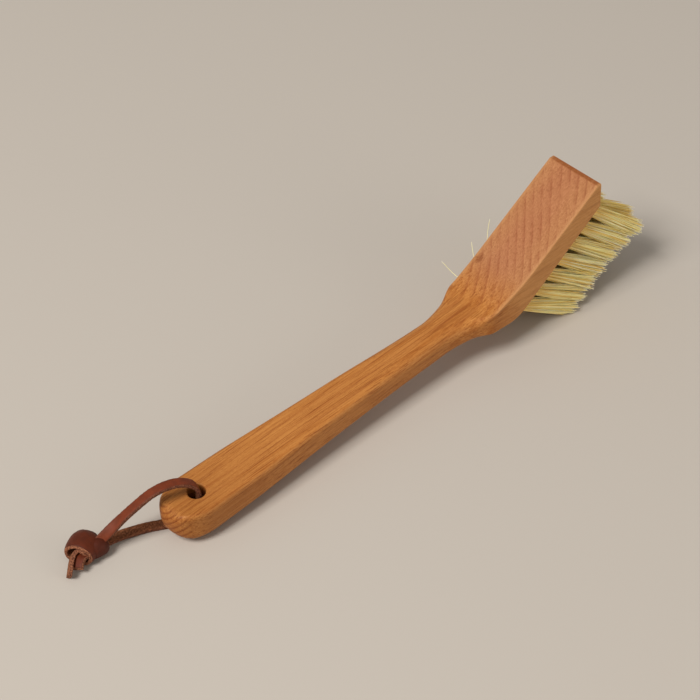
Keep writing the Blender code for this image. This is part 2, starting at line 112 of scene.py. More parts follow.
# Places worked out from these sizes, in the handle's own frame
SHOULDER_X = NECK_RUN + FLARE_RUN
BEND_X = SHOULDER_X + RAMP_RUN
RIDGE_X = BEND_X + HEAD_RUN
END_X = RIDGE_X + END_BEVEL
RAMP_RISE = RAMP_RUN * math.tan(RAMP_PITCH)
RIDGE_Z = RAMP_RISE + HEAD_RUN * math.tan(HEAD_PITCH)
END_TOP_Z = RIDGE_Z - END_BEVEL_FALL
END_BOTTOM_Z = END_TOP_Z - HEAD_END_THICKNESS
HEEL_X = END_X - (END_BOTTOM_Z + HEEL_THICKNESS) / math.tan(UNDERSIDE_PITCH)

# Wood figure, in millimetres along the handle, to its left and up, from the hanging hole's mouth
HEAD_TONE_RUN = (158, 180)
BUTT_SHADE_RUN = (-15, 50)
BUTT_ARCS_RUN = (-13, -8)
RING_RUN = (20, 160)
STREAK_RUN = (90, 150)
RIDGE_RUN = ((RIDGE_X - MM / 2) / MM, (RIDGE_X + MM / 4) / MM)
HEART_MIDDLE = 1.0
HEART_SIDES = (3.0, 12.0)
ARC_MIDDLE = (-13.0, 9.0, 9.0)
SMUDGE_PLACE = (175.8, 11.6, 7.4)
SMUDGE_REACH = (0.6, 3.6)
DRIFT_REACH = (0, 4.5, 4.5)
# How often each noise changes along, across and up, per millimetre
DRIFT_PITCH = (0.01, 0.035, 0.035)
FAINT_RING_PITCH = (0.02, 0.16, 0.16)
STREAK_PITCH = (0.018, 0.6, 0.6)
LINE_PITCH = (0.035, 2.3, 2.3)
FLECK_PITCH = (0.55, 1.9, 1.9)
HATCH_PITCH = (0.3, 4.2, 0.5)
STRIPE_PITCH = (0.5, 0.8, 0.8)
# Darkness across one growth ring
RING_tones = ((0.0, 0.3), (0.1, 0.0), (0.4, 0.12), (0.7, 0.4), (0.86, 0.75), (0.93, 1.0), (1.0, 0.3))
WIRE_DARK = (0.45, 0.45, 0.46)
WIRE_BRIGHT = (0.62, 0.62, 0.63)

# Hanging hole
HANGING_BORE = 7.7 * MM
RIM_ROUNDING = 0.8 * MM
RIM_STEPS = 5
BORE_SIDES = 64
OVERRUN = 2.0 * MM

# Tufts: columns run from the head's end to the neck, rows from the brush's right to its left
COLUMNS = 7
ROWS = 3
COLUMN_PITCH = 8.9 * MM
ROW_PITCH = 8.9 * MM
FIRST_COLUMN_INSET = 4.1 * MM
TUFT_BORE = 5.0 * MM
TUFT_BORE_DEPTH = 8.0 * MM
TUFT_SIDES = 20
LEAN_FAR_END = math.radians(15.2)
LEAN_NECK_END = math.radians(25.4)
SPLAY = math.radians(10.0)
ROOT_DEPTH = 1.2 * MM
# Painted shade: the inner and far rows' strands take darker, more golden tones.
ROW_painted_shade_tones = (1.0, 0.45, 0.7)
ROW_fans = (1.0, 1.3, 1.2)
CLUMPS = 9
CLUMP_share = 0.3
STRAND_SIDES = 4
STRAND_SMOOTH = math.radians(50)
# Width of a strand over its root's, at shares of its length
STRAND_profile = (
    (0.15, 1.0), (0.3, 0.97), (0.45, 0.94), (0.6, 0.9), (0.75, 0.86), (0.88, 0.82), (0.985, 0.76),
    (1.0, 0.35),
)
# How far use has bent a tuft's tips in its own frame, in millimetres, by row and column
COMBED = {
    (0, 0): (0, 0.5, -0.8), (0, 1): (0, 1.2, -1.4), (0, 2): (0.3, 2.0, -2.2), (0, 3): (0.5, 2.2, -2.4),
    (0, 4): (0.2, 2.2, -2.4), (0, 5): (-0.6, 2.2, -1.5), (0, 6): (-1.3, 2.2, -0.9),
    (1, 0): (3.5, -6.5, 0), (2, 0): (-1.0, -6.0, 0),
}
# Stray strands by row and column: tip in the handle's frame and bow, in millimetres
LOOSE = {
    (2, 5): (((201.1, 30.0, 4.1), (-1.5, 1.5, -0.5)),),
    (2, 6): (((189.2, 30.0, -2.4), (-0.5, 0.5, -1.2)), ((170.5, 30.5, -2.5), (0, 0, -4.5))),
}
LOOSE_TONE = 0.85
GOLDEN_ANGLE = math.radians(137.5)
FLOOR_CLEARANCE = 0.1 * MM

# Leather strap. Its routes are in millimetres from the floor's point under the hanging hole
LACE_WIDTH = 4.5 * MM
LACE_THICKNESS = 1.8 * MM
LACE_EDGE_share = 0.9
LACE_SMOOTH = math.radians(60)
LACE_ROUTE = (
    (-38.7, 12.4, 9.2), (-37.2, 12.1, 10.2), (-34.9, 11.5, 12.0), (-32.3, 10.7, 14.2), (-29.1, 9.6, 16.9),
    (-25.8, 8.5, 19.4), (-22.6, 7.4, 21.7), (-19.4, 6.4, 23.7), (-16.3, 5.3, 25.1), (-13.2, 4.3, 25.8),
    (-9.6, 3.2, 25.8), (-6.4, 2.1, 25.2), (-3.6, 1.1, 23.8), (-1.4, 0.4, 21.9), (0.0, -0.1, 19.5),
    (0.6, -0.3, 16.6), (0.8, -0.4, 12.5), (0.9, -0.4, 8.0), (0.8, -0.3, 5.0), (0.2, 0.1, 2.9),
    (-1.2, 1.0, 1.5), (-3.4, 2.3, 1.05), (-8.0, 5.1, 1.0), (-13.2, 8.0, 1.0), (-17.2, 10.1, 1.08),
    (-21.4, 11.7, 1.35), (-25.0, 12.6, 1.8), (-28.6, 13.3, 2.4), (-32.3, 13.7, 3.1), (-35.6, 13.8, 3.7),
    (-38.95, 13.4, 4.0),
)
LONG_TAIL_ROUTE = (
    (-49.6, 15.4, 6.2), (-52.1, 15.2, 6.0), (-54.5, 13.8, 4.9), (-56.8, 11.8, 3.6), (-58.9, 9.9, 2.3),
)
SHORT_TAIL_ROUTE = ((-48.8, 12.6, 5.6), (-51.0, 12.2, 5.5), (-52.8, 11.3, 4.6), (-54.1, 10.3, 3.5))
LONG_TAIL_STANDS = (0.28, -0.45, 0.85)
SHORT_TAIL_STANDS = (-0.7, 0.65, -0.1)
SHORT_TAIL_CUT = (-0.8, -0.55, 0.1)
LOOP_STATIONS = 240
TAIL_STATIONS = 40
CURVE_STEPS = 16
ROUGHNESS_SEED = 5
FRAY = 0.1 * MM
FLESH_FRAY_share = 0.8
GRAIN_FRAY_share = 0.12
FRAY_PITCH = 1.3
WRAP_STATIONS = 110
WRAP_STEP = 2.0 * MM
WRAP_TURN = math.radians(370)
WRAP_GROWTH = math.radians(80)
WRAP_UNEVEN = 0.22 * MM
WRAP_UNEVEN_PITCH = 0.35
WRAP_FRAY_PITCH = 1.6
WRAP_CURL_POWER = 2.4
# A wrap's front edge and heading, its width along its axis, half sizes across it, turns and curled edges
WRAPS = (
    {"front": (-50.9, 14.1, 5.3), "heading": math.radians(209), "width": 11.6 * MM, "wide": 6.7 * MM,
     "high": 5.9 * MM, "inner_turn": math.radians(190), "start": math.radians(100), "front_curl": 0.5 * MM,
     "back_curl": 2.2 * MM},
    {"front": (-45.4, 13.4, 4.9), "heading": math.radians(174), "width": 7.8 * MM, "wide": 4.2 * MM,
     "high": 4.5 * MM, "inner_turn": 0, "start": math.radians(-80), "front_curl": 0.6 * MM,
     "back_curl": 1.5 * MM},
)
LEG_ROLL = math.radians(50)
ROLL_RUN = 16.0 * MM
LEG_ROOTS = ((-41.0, 13.0, 7.4), (-41.3, 13.2, 4.2))

# Camera and light
CAMERA_PLACE = (-0.5025, -0.5001, 0.65655)
CAMERA_TARGET = (-0.0025, 0.0345, -0.00025)
LENS = 113.14
SENSOR = 36.0
CLIP_START = 10 * MM
KEY_WAY = (-0.81, -0.02, 1.0)
KEY_TINT = (1.0, 0.985, 0.965)
FILL_WAY = (0.35, -1.0, 0.27)
FILL_TINT = (1.0, 0.95, 0.88)
AMBIENT_TINT = (1.0, 0.97, 0.93)
LAMP_DISTANCE = 2.5
FLOOR_SIZE = 4.0

# The strap's hinge stands on the hanging hole's axis, halfway down
swing = frame["joints"][0]
BORE_AXIS = Vector(swing["axis"]).normalized()
HANDLE_TILT = math.asin(-BORE_AXIS.x)
HOLE_TOP = Vector(swing["pos_m"]) + BORE_AXIS * BUTT_THICKNESS / 2
HANDLE_FRAME = Matrix.Translation(HOLE_TOP) @ Matrix.Rotation(-HANDLE_TILT, 4, "Y")
HANDLE_WAY = HANDLE_FRAME.to_3x3() @ Vector((1, 0, 0))
HANDLE_UP = HANDLE_FRAME.to_3x3() @ Vector((0, 0, 1))
STRAP_FOOT = Vector((HOLE_TOP.x, HOLE_TOP.y, 0))


# Meshes

def lift_from_floor(bm):
    for vert in bm.verts:
        vert.co.z = max(vert.co.z, FLOOR_CLEARANCE)


def linked(name, data):
    """A new object in the scene."""
    made = bpy.data.objects.new(name, data)
    bpy.context.collection.objects.link(made)
    return made


def mesh_from(name, bm):
    mesh = bpy.data.meshes.new(name)
    bm.to_mesh(mesh)
    bm.free()
    return mesh


def finished(name, bm, surfaces, body, smooth_angle=None):
    """The bmesh as a shown object, riding on a body."""
    bmesh.ops.recalc_face_normals(bm, faces=bm.faces)
    mesh = mesh_from(name, bm)
    for surface in surfaces:
        mesh.materials.append(surface)
    if smooth_angle is not None:
        mesh.shade_smooth()
        mesh.set_sharp_from_angle(angle=smooth_angle)
    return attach(linked(name, mesh), body)


def cut(target, bm):
    """Take the closed shapes in a bmesh away from the target's mesh."""
    bmesh.ops.recalc_face_normals(bm, faces=bm.faces)
    tool = linked("cutter", mesh_from("cutter", bm))
    away = target.modifiers.new("away", "BOOLEAN")
    away.object = tool
    away.operation = "DIFFERENCE"
    away.solver = "EXACT"
    graph = bpy.context.evaluated_depsgraph_get()
    target.data = bpy.data.meshes.new_from_object(target.evaluated_get(graph))
    target.modifiers.clear()
    bpy.data.objects.remove(tool, do_unlink=True)


def next_ring(bm, edges):
    """Extrude a ring of edges in place; gives the new ring's points and edges."""
    grown = bmesh.ops.extrude_edge_only(bm, edges=edges)["geom"]
    ring = [part for part in grown if isinstance(part, bmesh.types.BMVert)]
    fresh = set(ring)
    edges = [part for part in grown
             if isinstance(part, bmesh.types.BMEdge) and all(v in fresh for v in part.verts)]
    return ring, edges


def sweep(bm, sections):
    """Extrude a closed ring of points from section to section, and cap both ends."""
    place = bm.verts.layers.int.get("place") or bm.verts.layers.int.new("place")
    ring = bmesh.ops.create_circle(bm, segments=len(sections[0]), radius=1)["verts"]
    edges = list(dict.fromkeys(edge for vert in ring for edge in vert.link_edges))
    for k, vert in enumerate(ring):
        vert[place] = k
        vert.co = sections[0][k]
    bmesh.ops.contextual_create(bm, geom=edges)
    for section in sections[1:]:
        ring, edges = next_ring(bm, edges)
        for vert in ring:
            vert.co = section[vert[place]]
    bmesh.ops.contextual_create(bm, geom=edges)


def spin_profile(bm, profile, place, sides):
    """Turn a closed profile of (radius, height) points round the local Z axis of a place."""
    verts = [bm.verts.new((radius, 0, height)) for radius, height in profile]
    edges = [bm.edges.new(pair) for pair in zip(verts, verts[1:])]
    bmesh.ops.spin(bm, geom=verts + edges, axis=(0, 0, 1), cent=(0, 0, 0), steps=sides, angle=2 * math.pi,
                   use_merge=True)
    fresh = [v for v in bm.verts if not v.tag]
    bmesh.ops.remove_doubles(bm, verts=fresh, dist=MM / 1000)
    fresh = [v for v in bm.verts if not v.tag]
    bmesh.ops.transform(bm, matrix=place, verts=fresh)
    for v in fresh:
        v.tag = True


# Wooden body

def read_shares(table, t):
    """Smooth value of a table of (place, share) pairs at t."""
    t = min(max(t, table[0][0]), table[-1][0])
    last = len(table) - 2
    i = min(sum(1 for place, _ in table[1:-1] if t > place), last)

    def slope(k):
        low = max(k - 1, 0)
        high = min(k + 1, len(table) - 1)
        return (table[high][1] - table[low][1]) / (table[high][0] - table[low][0])

    span = table[i + 1][0] - table[i][0]
    u = (t - table[i][0]) / span
    ease = u * u * (3 - 2 * u)
    start = table[i][1] * (1 - ease) + table[i + 1][1] * ease
    return start + span * (slope(i) * u * (1 - u) ** 2 - slope(i + 1) * u * u * (1 - u))


def rounded_line(corners, blend, x):
    """Height at x of a line through corners, its inner corners eased over blend to either side."""
    slopes = [(b[1] - a[1]) / (b[0] - a[0]) for a, b in zip(corners, corners[1:])]
    for k in range(1, len(corners) - 1):
        run = x - corners[k][0] + blend
        if 0 < run < 2 * blend:
            ease = (slopes[k] - slopes[k - 1]) * run * run / (4 * blend)
            return corners[k][1] + slopes[k - 1] * (run - blend) + ease
    k = sum(1 for place, _ in corners[1:-1] if x > place)
    return corners[k][1] + slopes[k] * (x - corners[k][0])


def top_z(x):
    if x > RIDGE_X:
        return RIDGE_Z - END_BEVEL_FALL * (x - RIDGE_X) / END_BEVEL
    corners = ((-BUTT_OVERHANG, 0), (SHOULDER_X, 0), (BEND_X, RAMP_RISE), (RIDGE_X, RIDGE_Z))
    return rounded_line(corners, BEND_BLEND, x)


def bottom_z(x):
    corners = (
        (-BUTT_OVERHANG, -BUTT_THICKNESS), (0, -BUTT_THICKNESS), (NECK_RUN, -NECK_THICKNESS),
        (SHOULDER_X, -SHOULDER_THICKNESS), (HEEL_X, -HEEL_THICKNESS), (END_X, END_BOTTOM_Z),
    )
    return rounded_line(corners, BEND_BLEND, x)


def half_width(x):
    """Half of the body's width at x, its shoulders' corner rounded off."""
    reach = CORNER_EASE if abs(x - SHOULDER_X) < 2 * CORNER_EASE else 0
    return (plain_half_width(x - reach) + 2 * plain_half_width(x) + plain_half_width(x + reach)) / 4


def plain_half_width(x):
    if x <= 0:
        return BUTT_WIDTH / 2 * (1 - min(-x / BUTT_OVERHANG, 1) ** BUTT_POWER) ** (1 / BUTT_POWER)
    if x <= NECK_RUN:
        return (NECK_WIDTH + (BUTT_WIDTH - NECK_WIDTH) * read_shares(WIDTH_shares, x / NECK_RUN)) / 2
    if x <= SHOULDER_X:
        return (NECK_WIDTH + (SHOULDER_WIDTH - NECK_WIDTH) * ((x - NECK_RUN) / FLARE_RUN) ** FLARE_POWER) / 2
    full = HEAD_WIDTH + (HEAD_END_WIDTH - HEAD_WIDTH) * (x - SHOULDER_X) / (END_X - SHOULDER_X)
    return (SHOULDER_WIDTH + (full - SHOULDER_WIDTH) * eased((x - SHOULDER_X) / WAIST_RUN)) / 2


def eased(t):
    """0 to 1 as t goes from 0 to 1, level at both ends."""
    t = min(max(t, 0), 1)
    return t * t * (3 - 2 * t)


def edge_rounding(x, upper):
    """Reach and fall of a long edge's rounding: oval on the neck's back, crisp from the shoulders on."""
    oval = eased((x - NECK_RUN + NECK_ROUNDING) / NECK_ROUNDING)
    crisp = eased((x - SHOULDER_X + EDGE_TURN * EDGE_LEAD_share) / EDGE_TURN)
    if not upper:
        radius = HANDLE_LOWER_EDGE + (HEAD_EDGE_RADIUS - HANDLE_LOWER_EDGE) * crisp
        return radius, radius
    sizes = []
    for neck_edge in (NECK_EDGE_REACH, NECK_EDGE_FALL):
        size = HANDLE_UPPER_EDGE + (neck_edge - HANDLE_UPPER_EDGE) * oval
        sizes.append(size + (HEAD_EDGE_RADIUS - size) * crisp)
    return sizes


def section(x, half, low, high):
    """Rounded rectangle across the body at x: four corners, with points along the flats between them."""
    corners = []
    for quarter, (sy, sz) in enumerate(((1, 1), (-1, 1), (-1, -1), (1, -1))):
        reach, fall = edge_rounding(x, sz > 0)
        reach = min(reach, half * CORNER_LIMIT_share)
        fall = min(fall, (high - low) / 2 * CORNER_LIMIT_share)
        cy = sy * (half - reach)
        cz = (high - fall) if sz > 0 else (low + fall)
        turns = [math.radians(90) * (quarter + step / CORNER_STEPS) for step in range(CORNER_STEPS + 1)]
        corners.append([Vector((x, cy + reach * math.cos(a), cz + fall * math.sin(a))) for a in turns])
    points = []
    for quarter, corner in enumerate(corners):
        following = corners[(quarter + 1) % 4][0]
        shares = NARROW_shares if quarter % 2 else BROAD_shares
        points += [*corner, *(corner[-1].lerp(following, share) for share in shares)]
    return points


def rolled(x, radius):
    """How far a surface has turned in at x, near the butt's end, over a roll of this radius."""
    inward = min(x + BUTT_OVERHANG, radius)
    return radius - math.sqrt(max(radius ** 2 - (radius - inward) ** 2, 0))


def body_sections():
    """Sections from the butt's end to the head's end."""
    made = []
    for step in range(BUTT_STEPS + 1):
        x = -BUTT_OVERHANG * math.cos(math.radians(90) * step / BUTT_STEPS)
        half = max(half_width(x), BUTT_TIP)
        low = bottom_z(x) + rolled(x, BUTT_FOOT_ROLL)
        made.append(section(x, half, low, top_z(x) - rolled(x, BUTT_EDGE_ROLL)))
    flat = BEND_X + BEND_BLEND
    spans = (
        (0, NECK_RUN, HANDLE_STEPS), (NECK_RUN, SHOULDER_X, FLARE_STEPS),
        (SHOULDER_X, flat, RAMP_STEPS), (flat, RIDGE_X, HEAD_STEPS),
    )
    for start, end, steps in spans:
        for step in range(1, steps + 1):
            x = start + (end - start) * step / steps
            made.append(section(x, half_width(x), bottom_z(x), top_z(x)))
    for inset in (END_BEVEL - END_CHAMFER, END_CHAMFER):
        x = END_X - inset
        made.append(section(x, half_width(x), bottom_z(x), top_z(x)))
    made.append(section(END_X, half_width(END_X) - END_CHAMFER, END_BOTTOM_Z + END_CHAMFER,
                        END_TOP_Z - END_CHAMFER))
    return made


def tuft_frame(row, column):
    """Place of a tuft's hole mouth: local Z points out along the bristles, local X along the head."""
    along = Vector((-math.cos(UNDERSIDE_PITCH), 0, -math.sin(UNDERSIDE_PITCH)))
    corner = Vector((END_X, 0, END_BOTTOM_Z))
    mouth = corner + along * (FIRST_COLUMN_INSET + COLUMN_PITCH * column)
    side = row - (ROWS - 1) / 2
    mouth.y = side * ROW_PITCH
    mouth.z = bottom_z(mouth.x)
    spread = abs(side) * (1 - column / (COLUMNS - 1))
    lean = LEAN_NECK_END + (LEAN_FAR_END - LEAN_NECK_END) * spread
    turn = Matrix.Rotation(math.pi - UNDERSIDE_PITCH - lean, 4, "Y")
    return Matrix.Translation(mouth) @ turn @ Matrix.Rotation(-SPLAY * side, 4, "X")


def hanging_hole_profile():
    """Half outline of a bore whose two rims are rounded, from the axis above to the axis below."""
    bore = HANGING_BORE / 2
    turns = [math.radians(90) * step / RIM_STEPS for step in range(RIM_STEPS + 1)]
    top = [(bore + RIM_ROUNDING * (1 - math.sin(t)), -RIM_ROUNDING * (1 - math.cos(t))) for t in turns]
    wide = top[0][0]
    foot = [(radius, -BUTT_THICKNESS - height) for radius, height in reversed(top)]
    return [(0, OVERRUN), (wide, OVERRUN), *top, *foot, (wide, -BUTT_THICKNESS - OVERRUN),
            (0, -BUTT_THICKNESS - OVERRUN)]


# Materials

class Recipe:
    """A material's nodes, added one by one."""

    def __init__(self, name):
        self.material = bpy.data.materials.new(name)
        self.material.use_nodes = True
        self.nodes = self.material.node_tree.nodes
        self.links = self.material.node_tree.links
        self.shader = self.nodes["Principled BSDF"]

    def add(self, kind, inputs=None, output=0, **settings):
        """A new node with settings and inputs, which are values or other nodes' outputs; gives an output."""
        made = self.nodes.new("ShaderNode" + kind)
        for key, value in settings.items():
            setattr(made, key, value)
        for key, value in (inputs or {}).items():
            self.feed(made.inputs[key], value)
        return made.outputs[output]

    def feed(self, socket, value):
        if isinstance(value, bpy.types.NodeSocket):
            self.links.new(value, socket)
        else:
            socket.default_value = rgb(value) if socket.type == "RGBA" else value

    def math(self, operation, first, second=0.0, clamp=False):
        return self.add("Math", {0: first, 1: second}, operation=operation, use_clamp=clamp)

    def product(self, first, *others):
        for other in others:
            first = self.math("MULTIPLY", first, other)
        return first

    def vector(self, operation, first, second=(0, 0, 0), output=0):
        return self.add("VectorMath", {0: first, 1: second}, output, operation=operation)

    def distance(self, place, middle):
        return self.vector("LENGTH", self.vector("SUBTRACT", place, middle), output=1)

    def millimetres(self):
        """The mesh's own coordinates in millimetres."""
        return self.vector("MULTIPLY", self.add("TexCoord", output=3), (1 / MM,) * 3)

    def attribute(self, name):
        return self.add("Attribute", output=2, attribute_name=name)

    def noise(self, vector, scale, detail=2.0, roughness=0.5, output=0):
        return self.add("TexNoise", {"Vector": vector, "Scale": scale, "Detail": detail,
                                     "Roughness": roughness}, output)

    def drawn_noise(self, vector, pitch, detail, roughness=0.5, output=0):
        """Noise with a pitch of its own along each axis."""
        return self.noise(self.vector("MULTIPLY", vector, pitch), 1.0, detail, roughness, output)

    def span(self, value, low, high, to_low=0.0, to_high=1.0):
        """The value carried from one span to another, smoothly, and held at its ends."""
        return self.add("MapRange", {"Value": value, "From Min": low, "From Max": high, "To Min": to_low,
                                     "To Max": to_high}, interpolation_type="SMOOTHSTEP")

    def mix(self, share, first, second, blend="MIX"):
        made = self.nodes.new("ShaderNodeMix")
        made.data_type = "RGBA"
        made.blend_type = blend
        self.feed(made.inputs[0], share)
        self.feed(made.inputs[6], first)
        self.feed(made.inputs[7], second)
        return made.outputs[2]

    def shade(self, tint, share, colour):
        """The tint multiplied by a colour, as far as the share says."""
        return self.mix(share, tint, colour, "MULTIPLY")

    def ramp(self, value, stops):
        made = self.nodes.new("ShaderNodeValToRGB")
        self.links.new(value, made.inputs[0])
        band = made.color_ramp
        while len(band.elements) < len(stops):
            band.elements.new(0.5)
        for element, (place, colour) in zip(band.elements, stops):
            element.position = place
            element.color = rgb(colour)
        return made.outputs[0]

    def bump(self, height, strength, distance):
        return self.add("Bump", {"Height": height, "Strength": strength, "Distance": distance})

    def finish(self, **inputs):
        for key, value in inputs.items():
            self.feed(self.shader.inputs[key.replace("_", " ")], value)
        return self.material


def rgb(colour):
    return (*colour[:3], 1.0)


def grain_space(recipe):
    """Coordinates in millimetres, X along the handle from the hole, Y left, Z up from the handle's top."""
    place = recipe.add("TexCoord", output=3)
    return recipe.add("Mapping", {"Vector": place, "Location": HOLE_TOP, "Rotation": (0, -HANDLE_TILT, 0),
                                  "Scale": (MM, MM, MM)}, vector_type="TEXTURE")


class OiledWood(Recipe):
    """Growth rings run through the solid, so each cut face shows them as the real board would."""

    def __init__(self, wood):
        super().__init__("oiled_wood_grain")
        self.wood = wood
        self.place = grain_space(self)
        drift = self.drawn_noise(self.place, DRIFT_PITCH, 1.0, output=1)
        drift = self.vector("SUBTRACT", drift, (0.5, 0.5, 0.5))
        self.wander = self.vector("ADD", self.place, self.vector("MULTIPLY", drift, DRIFT_REACH))
        self.normal = self.add("TexCoord", output=1)
        self.sideways = self.facing((0, 1, 0))
        self.along = self.add("SeparateXYZ", {0: self.place})
        self.head = self.span(self.along, *HEAD_TONE_RUN)
        self.handle = self.math("SUBTRACT", 1.0, self.head)
        self.line = self.drawn_noise(self.wander, LINE_PITCH, 3.0, 0.7)
        self.fleck = self.drawn_noise(self.place, FLECK_PITCH, 2.0, 0.7)
        self.dark_fleck = self.span(self.fleck, 0.56, 0.7)

    def towards(self, way):
        return self.vector("DOT_PRODUCT", self.normal, way, output=1)

    def facing(self, way):
        """1 where the surface faces a way or its opposite, 0 where it runs along it."""
        return self.math("ABSOLUTE", self.towards(way))

    def board(self):
        """The plain wood: pale on the head's slanted cut, golden on its sides, dimmer at the butt."""
        wood = self.wood
        cut_face = self.mix(self.span(self.sideways, 0.4, 0.8), wood.head_colour, wood.side_colour)
        tint = self.mix(self.head, wood.early_colour, cut_face)
        # Darker towards the butt's end.
        tint = self.shade(tint, self.span(self.along, *BUTT_SHADE_RUN, 1.0, 0.0), wood.butt_shade)
        across = self.add("SeparateXYZ", {0: self.wander}, 1)
        from_middle = self.math("ABSOLUTE", self.math("SUBTRACT", across, HEART_MIDDLE))
        heart = self.product(self.span(from_middle, *HEART_SIDES, 1.0, 0.0), self.head)
        return self.shade(tint, heart, wood.heart_shade)

    def rings(self, tint):
        """Growth rings round a pith that lies outside the board."""
        wood = self.wood
        from_pith = self.vector("SUBTRACT", self.wander, (0, wood.pith_side, wood.pith_height))
        radius = self.vector("LENGTH", self.vector("MULTIPLY", from_pith, (0, 1, 1)), output=1)
        ring = self.math("FRACT", self.math("DIVIDE", radius, wood.ring_width))
        late = self.ramp(ring, [(place, (dark,) * 3) for place, dark in RING_tones])
        faint = self.drawn_noise(self.wander, FAINT_RING_PITCH, 1.0)
        share = self.product(late, self.span(faint, 0.38, 0.62, 0.3, 1.0),
                             self.span(self.sideways, 0.3, 0.9, 1.0, 0.35),
                             self.span(self.along, *RING_RUN, 0.55, 1.0))
        return self.shade(tint, share, wood.late_shade)

    def streaks(self, tint):
        """Painted shade on the handle's sides, and broad streaks on the handle."""
        wood = self.wood
        # Painted shade: both sides of the handle are darkened in colour.
        sides = self.product(self.span(self.sideways, 0.4, 0.95), self.handle)
        tint = self.shade(tint, sides, wood.handle_side_painted_shade)
        streak = self.drawn_noise(self.wander, STREAK_PITCH, 3.0, 0.6)
        share = self.product(self.span(streak, 0.46, 0.66), self.handle)
        share = self.math("MULTIPLY", share, self.span(self.along, *STREAK_RUN, 0.85, 1.5), clamp=True)
        return self.shade(tint, share, wood.streak_shade)

    def lines(self, tint):
        """Thin dark and pale lines, short flecks, and a finer hatch on the head's back."""
        calm = self.span(self.head, 0.0, 1.0, 1.0, 0.65)
        hatch = self.drawn_noise(self.place, HATCH_PITCH, 2.0, 0.7)
        on_back = self.product(self.span(self.sideways, 0.3, 0.7, 1.0, 0.0), self.head)
        dark = self.wood.line_shade
        pale = self.wood.pale_shade
        layers = (
            (self.product(self.span(self.line, 0.52, 0.64, 0.0, 0.95), calm), dark),
            (self.product(self.span(self.line, 0.46, 0.34, 0.0, 0.6), calm), pale),
            (self.product(self.dark_fleck, self.span(self.head, 0.0, 1.0, 0.45, 0.3)), dark),
            (self.product(self.span(hatch, 0.5, 0.64, 0.0, 0.35), on_back), dark),
            (self.product(self.span(hatch, 0.48, 0.36, 0.0, 0.5), on_back), pale),
            (self.span(self.fleck, 0.45, 0.32, 0.0, 0.7), pale),
        )
        for share, colour in layers:
            tint = self.shade(tint, share, colour)
        return tint

    def ends(self, tint):
        """Oil-soaked end grain, partly painted shade, a dark strip along the head's bevel, and ring arcs on
        the butt's end.
        """
        wood = self.wood
        lengthways = self.facing(HANDLE_WAY)
        stripe = self.drawn_noise(self.place, STRIPE_PITCH, 2.0, 0.6)
        strip = self.product(self.span(self.towards(HANDLE_UP), 0.5, 0.7), self.span(self.along, *RIDGE_RUN),
                             self.span(stripe, 0.35, 0.65, 0.55, 1.0))
        # Darker where the surface faces along the handle: oil-soaked end grain, deepened as painted shade.
        soaked_and_shaded = self.math("MAXIMUM", self.product(self.span(lengthways, 0.66, 1.0), 0.45), strip)
        tint = self.mix(soaked_and_shaded, tint, wood.end_colour)
        arc = self.math("FRACT", self.math("DIVIDE", self.distance(self.wander, ARC_MIDDLE), wood.arc_width))
        arcs = self.product(self.span(lengthways, 0.35, 0.6), self.span(self.along, *BUTT_ARCS_RUN, 1.0, 0.0),
                            self.span(arc, 0.45, 0.95, 0.0, 0.9))
        return self.shade(tint, arcs, wood.line_shade)

    def painted_light_and_marks(self, tint):
        """Painted highlight along the head's upper edges, and a dark smudge at the head's left margin."""
        # Painted highlight: a lighter colour along the head's upper long edges, where their rounding catches
        # the light.
        tint = self.mix(self.product(self.attribute("edge_highlight"), 0.5), tint, self.wood.edge_colour)
        smudge = self.product(self.span(self.distance(self.wander, SMUDGE_PLACE), *SMUDGE_REACH, 1.0, 0.0),
                              self.span(self.line, 0.38, 0.55, 0.35, 1.0))
        return self.shade(tint, smudge, self.wood.line_shade)


def oiled_wood(wood):
    r = OiledWood(wood)
    tint = r.board()
    for layer in (r.rings, r.streaks, r.lines, r.ends, r.painted_light_and_marks):
        tint = layer(tint)
    height = r.math("SUBTRACT", r.line, r.product(r.dark_fleck, 0.5))
    dull = r.span(r.fleck, 0.3, 0.7, wood.roughness, wood.roughness + 0.12)
    return r.finish(Base_Color=tint, Roughness=dull, Normal=r.bump(height, 0.3, 0.08 * MM),
                    Specular_IOR_Level=0.2)


def plant_fibre(bristles):
    r = Recipe("plant_fibre_strands")
    tint = r.ramp(r.attribute("tone"), (
        (0.0, bristles.shade_colour), (0.22, bristles.gold_colour), (0.45, bristles.colour),
        (0.8, bristles.colour), (1.0, bristles.bright_colour)))
    along = r.attribute("along")
    # Painted shade: strands darken to a warm brown towards their roots, under the head and between the tufts.
    tint = r.mix(r.span(along, 0.0, 0.55, 0.9, 0.0), tint, bristles.root_painted_shade_colour)
    tint = r.mix(r.span(along, 0.93, 1.0, 0.0, 0.8), tint, bristles.tip_colour)
    fleck = r.noise(grain_space(r), 1.1)
    tint = r.mix(r.span(fleck, 0.5, 0.7, 0.0, 0.4), tint, bristles.gold_colour)
    return r.finish(Base_Color=tint, Roughness=0.42, Specular_IOR_Level=0.4, Subsurface_Weight=0.15,
                    Subsurface_Radius=(1.0, 0.7, 0.3), Subsurface_Scale=0.3 * MM)


